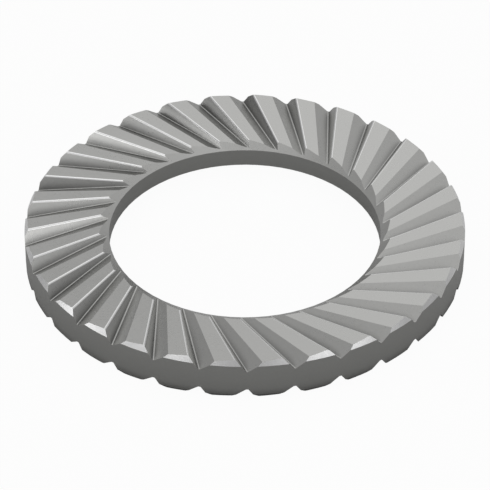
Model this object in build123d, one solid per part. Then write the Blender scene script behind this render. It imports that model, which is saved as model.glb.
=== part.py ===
from build123d import *
import os
from math import asin, degrees, radians, sqrt, tan

# Toothed lock washer for an M10 screw: one hardened steel ring with saw teeth on both faces.
# Millimetres, +Z up, origin on the axis at the level of the lowest tooth crests.

# Ring
outer_radius = 8.25
bore_radius = 5.1
tooth_count = 30

# Heights above the middle plane of the ring: a crest falls from the outer rim to the bore
bore_edge_height = 0.35
valley_height = 0.41
inner_crest_height = 0.495
outer_bevel_height = 0.65
crest_height = 0.87

# Slopes in degrees
inner_bevel_angle = 30
outer_bevel_angle = 54
land_ramp_angle = 4
flank_angle = 57

# Plan of the teeth: each valley is straight and passes the axis at this distance
valley_offset = 3.05
first_valley_angle = 90.5

# Width in plan of the rise from a valley up to the next land, which makes it steeper at the rim
bore_rise_width = 0.28
rim_rise_width = 0.6

# Narrow flat along the bottom of a valley, and rounding along the top of a flank
valley_floor_width = 0.08
crest_rounding = 0.09

# How far the cutters reach past the metal
reach = 0.3

pitch_angle = 360 / tooth_count
valley_lag = asin(valley_offset / outer_radius)
crest_gap = valley_floor_width / 2 + (crest_height - valley_height) / tan(radians(flank_angle))
crest_offset = valley_offset + crest_gap
crest_rim_end = sqrt(outer_radius**2 - crest_offset**2)
crest_length = crest_rim_end - sqrt(bore_radius**2 - crest_offset**2)
land_flare = (crest_height - inner_crest_height) / crest_length
inner_end = sqrt(bore_radius**2 - valley_offset**2) - reach
outer_end = outer_radius + reach


def turned(*outline):
    """Solid of revolution about the ring's axis from its outline, given as radii and heights."""
    return revolve(Plane.XZ * make_face(Polyline(*outline, close=True)), Axis.Z)


def half_blank():
    """Upper half of the ring before its teeth are cut, its round faces closing between two teeth."""
    top = crest_height + reach
    inner_top = bore_radius + (top - bore_edge_height) / tan(radians(inner_bevel_angle))
    outer_top = outer_radius - (crest_height - outer_bevel_height) / tan(radians(outer_bevel_angle))
    rim = [(outer_radius, 0), (outer_radius, outer_bevel_height), (outer_top, crest_height)]
    edge = [(bore_radius, -reach), (bore_radius, bore_edge_height), (inner_top, top)]
    disc = turned((0, 0), *rim, (0, crest_height))
    hole = turned((0, -reach), *edge, (0, top))
    bore_lag = asin(valley_offset / bore_radius)
    hole_turn = degrees(valley_lag - bore_lag) + pitch_angle / 2
    return Rot(0, 0, pitch_angle / 2) * disc - Rot(0, 0, hole_turn) * hole


def valley_section(along, corners):
    """Upright face across one valley at a distance along it, from corners off its bottom."""
    bottom = Plane(origin=(along, -valley_offset, valley_height), x_dir=(0, 1, 0), z_dir=(1, 0, 0))
    return bottom * make_face(Polyline(*corners, close=True))


def land_point(p):
    """Point over p on the sloping plane of the land that ends at this valley's flank."""
    along = p.X - crest_rim_end
    across = p.Y + crest_offset
    rise = along * land_flare + across * tan(radians(land_ramp_angle))
    return Vector(p.X, p.Y, crest_height + rise)


def rise_section(along, width):
    """Section of the space over the long rise, which meets the next tooth's land at its width."""
    foot = Vector(along, width - valley_offset)
    land_height = land_point(foot.rotate(Axis.Z, -pitch_angle)).Z
    side = valley_floor_width / 2
    top = crest_height + reach
    corners = [(side, 0), (width, land_height - valley_height), (width, top), (-side, top)]
    return valley_section(along, corners)


def valley_cutter():
    """Everything above one valley: steep flank on its clockwise side, long rise on the other."""
    side = valley_floor_width / 2
    top = crest_height + reach
    run = top / tan(radians(flank_angle))
    corners = [(side, 0), (-side, 0), (-side - run, top), (side, top)]
    flank = extrude(valley_section(inner_end, corners), outer_end - inner_end)
    ends = [rise_section(inner_end, bore_rise_width), rise_section(outer_end, rim_rise_width)]
    return flank + loft(ends, ruled=True)


def land_cutter():
    """Everything above one land, from the rise of the valley before to the flank of this one."""
    last = [Vector(x, -valley_offset - crest_gap / 3) for x in (outer_end, inner_end)]
    first = [Vector(x, -valley_offset + crest_gap / 3) for x in (inner_end, outer_end)]
    first = [p.rotate(Axis.Z, -pitch_angle) for p in first]
    land = make_face(Polyline(*[land_point(p) for p in last + first], close=True))
    return extrude(land, crest_height + reach, dir=(0, 0, 1))


def half_ring():
    """Toothed upper half, the rim end of its first valley lying on the X axis."""
    tooth = Rot(0, 0, degrees(valley_lag)) * (valley_cutter() + land_cutter())
    ring = half_blank() - [Rot(0, 0, n * pitch_angle) * tooth for n in range(tooth_count)]
    long_edges = ring.edges().filter_by(lambda edge: edge.length > crest_length / 2)
    crests = long_edges.sort_by(Axis.Z)[-tooth_count:]
    return fillet(crests, crest_rounding)


def washer():
    """Both faces alike: the lower half is the upper one turned over about the X axis."""
    upper = half_ring()
    ring = Rot(0, 0, first_valley_angle) * (upper + Rot(180, 0, 0) * upper)
    return Pos(0, 0, -ring.bounding_box().min.Z) * ring


lock_washer = washer()
os.makedirs("parts", exist_ok=True)
export_step(lock_washer, "parts/lock_washer.step")
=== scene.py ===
from math import cos, pi, radians, sin

import bpy
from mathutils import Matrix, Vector


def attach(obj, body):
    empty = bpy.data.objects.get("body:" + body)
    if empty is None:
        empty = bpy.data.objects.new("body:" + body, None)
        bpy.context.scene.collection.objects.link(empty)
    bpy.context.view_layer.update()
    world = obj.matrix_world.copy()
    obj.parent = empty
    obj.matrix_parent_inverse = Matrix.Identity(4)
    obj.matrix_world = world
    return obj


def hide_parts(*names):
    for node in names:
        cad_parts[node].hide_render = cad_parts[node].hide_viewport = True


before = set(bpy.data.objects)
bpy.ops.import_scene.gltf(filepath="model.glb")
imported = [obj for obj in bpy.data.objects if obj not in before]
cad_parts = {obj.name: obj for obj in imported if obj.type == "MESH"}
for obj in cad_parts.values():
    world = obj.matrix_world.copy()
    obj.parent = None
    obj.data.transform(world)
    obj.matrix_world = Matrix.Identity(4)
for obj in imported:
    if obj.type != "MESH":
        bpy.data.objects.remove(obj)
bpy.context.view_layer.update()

mm = 0.001

# How the photograph was taken: height of the eye over the horizon, its distance and its lens
eye_elevation = 38.136
eye_distance = 127.44 * mm
eye_roll = -0.137
eye_target = Vector((0.005, 0.004, 0.534)) * mm
eye_lens = 248.6
film_width = 36
nearest_seen = 0.01
farthest_seen = 10

# Heights of the ring's middle, and of a valley and a crest above it
middle_height = 0.85 * mm
valley_height = 0.41 * mm
crest_height = 0.87 * mm

# Corners no farther apart than this are joined, and faces that bend no more than this
same_corner = 0.0005 * mm
same_face = radians(0.3)

# Round surfaces have normals that are this level at least, and point this straight outward
round_level = 0.3
round_outward = 0.99

# Upward parts of the normals that tell the ring's surfaces apart, and the least area of a land
wall_upward = 0.05
floor_upward = 0.9995
land_upward = 0.985
flank_upward = 0.56
land_area = 0.3 * mm * mm

# How far a flank's shading turns upward where it reaches a crest at full height
crest_roll = 0.18

# Which surfaces a curved one takes its normals from at its edges, the first found first
blends = {
    "crest": ("land", "flank", "crest"),
    "valley": ("flank", "rise", "valley"),
}

# Grain of the steel: fine spots and broad clouds to a metre, the share of the clouds, the range
# that the mixed grain lies in, and what it does to the gloss and the relief
fine_grain = 9 / mm
broad_grain = 0.5 / mm
cloud_share = 0.35
grain_range = (0.3, 0.7)
gloss_swing = 0.05
relief_depth = 0.02 * mm

# Painted shade in crevices: how near a wall has to be, how open they are and how much of the
# colour is left under the painted shade
painted_shade_reach = 0.9 * mm
painted_shade_samples = 16
painted_shade_open = (0.36, 0.8)
painted_shade_colour = (0.08, 1.08)

# Background: shares of its white that the eye and the metal see, and how it takes the light
floor_size = 4.0
floor_grey = (0.75, 0.75, 0.75, 1)
floor_roughness = 0.9
floor_white = (0.96, 0.03)
sky_white = (1.0, 0.03)
sky_dim = 0.02
glow_falloff = 2.0

# Softboxes: their size and their distance from the ring
box_width = 0.3
box_height = 0.2
box_distance = 0.5


def join_corners(name, node):
    """Copy of the solid ring with its loose triangles joined up into whole faces."""
    ring = bpy.data.objects.new(name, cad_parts[node].data.copy())
    bpy.context.scene.collection.objects.link(ring)
    bpy.ops.object.select_all(action="DESELECT")
    ring.select_set(True)
    bpy.context.view_layer.objects.active = ring
    bpy.ops.object.mode_set(mode="EDIT")
    bpy.ops.mesh.select_all(action="SELECT")
    bpy.ops.mesh.remove_doubles(threshold=same_corner)
    bpy.ops.mesh.dissolve_limited(angle_limit=same_face)
    bpy.ops.object.mode_set(mode="OBJECT")
    bpy.ops.object.shade_smooth()
    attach(ring, "root")
    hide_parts(node)
    return ring


def outward(place):
    """Level direction from the ring's axis to a place."""
    return Vector((place.x, place.y, 0)).normalized()


def kind_of_face(face):
    """Which of the ring's surfaces a face belongs to, told by the way it faces."""
    level = Vector((face.normal.x, face.normal.y, 0))
    out = outward(face.center)
    upward = abs(face.normal.z)
    if level.length > round_level and abs(level.dot(out)) > round_outward * level.length:
        if upward < wall_upward:
            return "wall"
        return "inner bevel" if level.dot(out) < 0 else "outer bevel"
    if upward > floor_upward:
        return "valley"
    if upward > land_upward and face.area > land_area:
        return "land"
    if out.cross(level).z * face.normal.z < 0:
        return "rise"
    return "flank" if upward < flank_upward else "crest"


def round_normal(face, corner):
    """Normal of a true cylinder or cone at a corner of one of its flat strips."""
    level = Vector((face.normal.x, face.normal.y, 0))
    away = outward(corner) * level.length
    if level.dot(outward(face.center)) < 0:
        away = -away
    return Vector((away.x, away.y, face.normal.z))


def rolled_normal(normal, corner):
    """Normal of a steep flank that rolls over toward its crest, the more the higher it stands."""
    above_valley = abs(corner.z - middle_height) - valley_height
    share = max(above_valley, 0) / (crest_height - valley_height)
    upward = Vector((0, 0, 1 if corner.z > middle_height else -1))
    return normal.lerp(upward, crest_roll * share).normalized()


def blended_normal(kind, corner, around, facing):
    """Normal at a corner of a curved surface, which runs on into the surfaces beside it."""
    for beside in blends[kind]:
        total = Vector()
        for face, other in around:
            if other == beside:
                total += facing[face.index] * face.area
        if total.length > 0:
            total.normalize()
            return rolled_normal(total, corner) if beside == "flank" else total


def even_out_rises(mesh, kinds, around, facing):
    """Give all the narrow faces of one slightly twisted rise the same mean normal."""
    done = set()
    for first in mesh.polygons:
        if kinds[first.index] != "rise" or first.index in done:
            continue
        rise = [first]
        done.add(first.index)
        for face in rise:
            for corner in face.vertices:
                for beside, kind in around[corner]:
                    if kind == "rise" and beside.index not in done:
                        rise.append(beside)
                        done.add(beside.index)
        mean = Vector()
        for face in rise:
            mean += face.normal * face.area
        for face in rise:
            facing[face.index] = mean.normalized()


def shade_true(ring, finishes):
    """Round faces shade as round and flat ones as flat, and each kind gets its finish."""
    mesh = ring.data
    kinds = [kind_of_face(face) for face in mesh.polygons]
    facing = [face.normal.copy() for face in mesh.polygons]
    around = [[] for _ in mesh.vertices]
    for face, kind in zip(mesh.polygons, kinds):
        for corner in face.vertices:
            around[corner].append((face, kind))
    even_out_rises(mesh, kinds, around, facing)
    mesh.materials.clear()
    order = list(dict.fromkeys(finishes.values()))
    for finish in order:
        mesh.materials.append(finish)
    normals = [None] * len(mesh.loops)
    for face, kind in zip(mesh.polygons, kinds):
        face.material_index = order.index(finishes[kind])
        for corner, loop in zip(face.vertices, face.loop_indices):
            place = mesh.vertices[corner].co
            if kind in blends:
                normals[loop] = blended_normal(kind, place, around[corner], facing)
            elif kind in ("land", "rise"):
                normals[loop] = facing[face.index]
            elif kind == "flank":
                normals[loop] = rolled_normal(facing[face.index], place)
            else:
                normals[loop] = round_normal(face, place)
    mesh.normals_split_custom_set(normals)


def set_inputs(tree, node, inputs):
    """Set inputs of a node, each to a plain value or to what another node puts out."""
    for name, value in inputs.items():
        if isinstance(value, bpy.types.NodeSocket):
            tree.links.new(value, node.inputs[name])
        else:
            node.inputs[name].default_value = value


def add_node(tree, kind, inputs, operation=None):
    """New node with its inputs set, and its operation where it has several."""
    node = tree.nodes.new("ShaderNode" + kind)
    if operation:
        node.operation = operation
    set_inputs(tree, node, inputs)
    return node


def calculate(tree, operation, *terms):
    """One step of arithmetic with plain values or with what other nodes put out."""
    return add_node(tree, "Math", dict(enumerate(terms)), operation).outputs[0]


def map_range(tree, value, old, new):
    """A value carried over from an old range to a new one, and kept within that."""
    bounds = zip(("From Min", "From Max", "To Min", "To Max"), old + new)
    return add_node(tree, "MapRange", {"Value": value, **dict(bounds)}).outputs["Result"]


def add_noise(tree, place, spots, detail, roughness):
    """Grain with so many spots to a metre, and so much still finer grain in it."""
    inputs = {"Vector": place, "Scale": spots, "Detail": detail, "Roughness": roughness}
    return add_node(tree, "TexNoise", inputs).outputs["Fac"]


def steel(name, tone, roughness, grain=0.04, bump=0.015):
    """Hardened steel: fine grain in its colour and gloss, with painted shade that darkens its
    colour where it lies in a crevice.
    """
    metal = bpy.data.materials.new(name)
    metal.use_nodes = True
    tree = metal.node_tree

    place = add_node(tree, "TexCoord", {}).outputs["Object"]
    fine = add_noise(tree, place, fine_grain, 3.0, 0.6)
    broad = add_noise(tree, place, broad_grain, 2.0, 0.5)
    mix = add_node(tree, "Mix", {"Factor": cloud_share, "A": fine, "B": broad})
    blend = mix.outputs["Result"]

    colour = add_node(tree, "ValToRGB", {"Fac": blend})
    swings = (1 - grain, 1 + grain)
    for element, position, swing in zip(colour.color_ramp.elements, grain_range, swings):
        element.position = position
        element.color = [t * swing for t in tone] + [1]

    # Painted shade: occlusion darkens the colour in valleys and beside walls, and lightens open
    # faces a little
    painted_shade = add_node(tree, "AmbientOcclusion", {"Distance": painted_shade_reach})
    painted_shade.samples = painted_shade_samples
    left = map_range(tree, painted_shade.outputs["AO"], painted_shade_open, painted_shade_colour)
    inputs = {"Vector": colour.outputs["Color"], "Scale": left}
    shaded = add_node(tree, "VectorMath", inputs, "SCALE")

    glosses = (roughness - gloss_swing, roughness + gloss_swing)
    inputs = {"Strength": bump, "Distance": relief_depth, "Height": fine}
    relief = add_node(tree, "Bump", inputs)
    look = {
        "Metallic": 1.0,
        "Base Color": shaded.outputs["Vector"],
        "Roughness": map_range(tree, blend, grain_range, glosses),
        "Normal": relief.outputs["Normal"],
    }
    set_inputs(tree, tree.nodes["Principled BSDF"], look)
    return metal


def seen_white(tree, eye_share, metal_share):
    """How much of a white background a ray sees, from the eye or through glass, and off metal."""
    ray = add_node(tree, "LightPath", {}).outputs
    eye = calculate(tree, "MAXIMUM", ray["Is Camera Ray"], ray["Is Transmission Ray"])
    share = calculate(tree, "MULTIPLY", eye, eye_share)
    return calculate(tree, "MULTIPLY_ADD", ray["Is Glossy Ray"], metal_share, share)


def pale_floor():
    """Wide plain floor under the ring; the eye sees it near white, with the ring's soft shadow."""
    bpy.ops.object.select_all(action="DESELECT")
    bpy.ops.mesh.primitive_plane_add(size=floor_size, location=(0, 0, 0))
    floor = bpy.context.object
    floor.name = "pale_floor"
    paint = bpy.data.materials.new("pale_floor_paint")
    paint.use_nodes = True
    tree = paint.node_tree
    matt = tree.nodes["Principled BSDF"]
    set_inputs(tree, matt, {"Base Color": floor_grey, "Roughness": floor_roughness})
    white = add_node(tree, "Emission", {})
    share = seen_white(tree, *floor_white)
    both = {"Fac": share, 1: matt.outputs["BSDF"], 2: white.outputs["Emission"]}
    mix = add_node(tree, "MixShader", both)
    set_inputs(tree, tree.nodes["Material Output"], {"Surface": mix.outputs["Shader"]})
    floor.data.materials.append(paint)


def add_glow(tree, place, towards, level, so_far):
    """Strength of the sky with one more broad soft glow around a direction added to it."""
    near = add_node(tree, "VectorMath", {0: place, 1: towards}, "DOT_PRODUCT").outputs["Value"]
    front = calculate(tree, "MAXIMUM", near, 0.0)
    soft = calculate(tree, "POWER", front, glow_falloff)
    return calculate(tree, "MULTIPLY_ADD", soft, level, so_far)


def studio_sky(glows):
    """White to the eye; for the light it is dim, with broad soft glows around some directions."""
    world = bpy.data.worlds.new("studio_sky")
    world.use_nodes = True
    bpy.context.scene.world = world
    tree = world.node_tree
    place = add_node(tree, "TexCoord", {}).outputs["Generated"]
    strength = sky_dim
    for towards, level in glows:
        strength = add_glow(tree, place, towards, level, strength)
    light = tree.nodes["Background"]
    set_inputs(tree, light, {"Color": (1, 1, 1, 1), "Strength": strength})
    white = add_node(tree, "Background", {})
    share = seen_white(tree, *sky_white)
    both = {"Fac": share, 1: light.outputs["Background"], 2: white.outputs["Background"]}
    mix = add_node(tree, "MixShader", both)
    set_inputs(tree, tree.nodes["World Output"], {"Surface": mix.outputs["Shader"]})


def softbox(name, azimuth, elevation, brightness):
    """Soft lamp that faces the ring; azimuth 0 is the eye's side and 90 is its right."""
    lamp = bpy.data.lights.new(name, "AREA")
    lamp.shape = "RECTANGLE"
    lamp.size = box_width
    lamp.size_y = box_height
    lamp.energy = brightness * pi * box_width * box_height
    a, e = radians(azimuth), radians(elevation)
    place = Vector((sin(a) * cos(e), -cos(a) * cos(e), sin(e)))
    holder = bpy.data.objects.new(name, lamp)
    bpy.context.scene.collection.objects.link(holder)
    holder.location = place * box_distance
    holder.rotation_mode = "QUATERNION"
    holder.rotation_quaternion = place.to_track_quat("Z", "Y")


def photo_camera():
    """Eye at the photograph's angle, distance and lens."""
    camera = bpy.data.objects.new("photo_camera", bpy.data.cameras.new("photo_camera"))
    bpy.context.scene.collection.objects.link(camera)
    camera.data.sensor_width = film_width
    camera.data.lens = eye_lens
    camera.data.clip_start = nearest_seen
    camera.data.clip_end = farthest_seen
    e = radians(eye_elevation)
    camera.location = eye_target + Vector((0, -cos(e), sin(e))) * eye_distance
    camera.rotation_mode = "ZYX"
    camera.rotation_euler = (radians(90 - eye_elevation), 0, radians(eye_roll))
    bpy.context.scene.camera = camera


photo_camera()
ring = join_corners("toothed_ring", "lock_washer")
ground = steel("ground_steel", (0.5, 0.5, 0.488), 0.3)
# The walls' darker tone is painted shade, standing in for the dark reflections they catch; their
# higher roughness is their own finish
wall_painted_dark = steel("wall_steel_painted_shade", (0.31, 0.31, 0.3), 0.4)
# The outer bevel's near-white tone is partly worn bright edge and partly a painted highlight
bevel_wear_and_painted_highlight = steel("bevel_steel_wear_and_painted_highlight", (0.97, 0.97, 0.95), 0.36, grain=0.01, bump=0)
# The crest roundings' near-white tone is partly rubbed edge and partly a painted highlight
crest_rub_and_painted_highlight = steel("crest_steel_rub_and_painted_highlight", (0.95, 0.95, 0.93), 0.3, bump=0)
finishes = {
    "land": ground,
    "rise": ground,
    "flank": ground,
    "inner bevel": ground,
    "wall": wall_painted_dark,
    "outer bevel": bevel_wear_and_painted_highlight,
    "crest": crest_rub_and_painted_highlight,
    "valley": ground,
}
shade_true(ring, finishes)
pale_floor()
above = (0, 0, 1)
behind = (0, 0.8, 0.6)
to_right = (0.9, 0.1, 0.43)
to_front = (0, -0.9, 0.43)
studio_sky([(above, 0.37), (behind, 0.46), (to_right, 0.23), (to_front, 0.16)])
softbox("left_softbox", -82, 12, 1.2)
softbox("front_left_softbox", -45, 40, 1.15)
softbox("front_right_softbox", 48, 35, 1.0)
softbox("top_softbox", 180, 80, 0.37)
softbox("back_softbox", 180, 45, 0.26)
bpy.context.scene.view_settings.view_transform = "Standard"
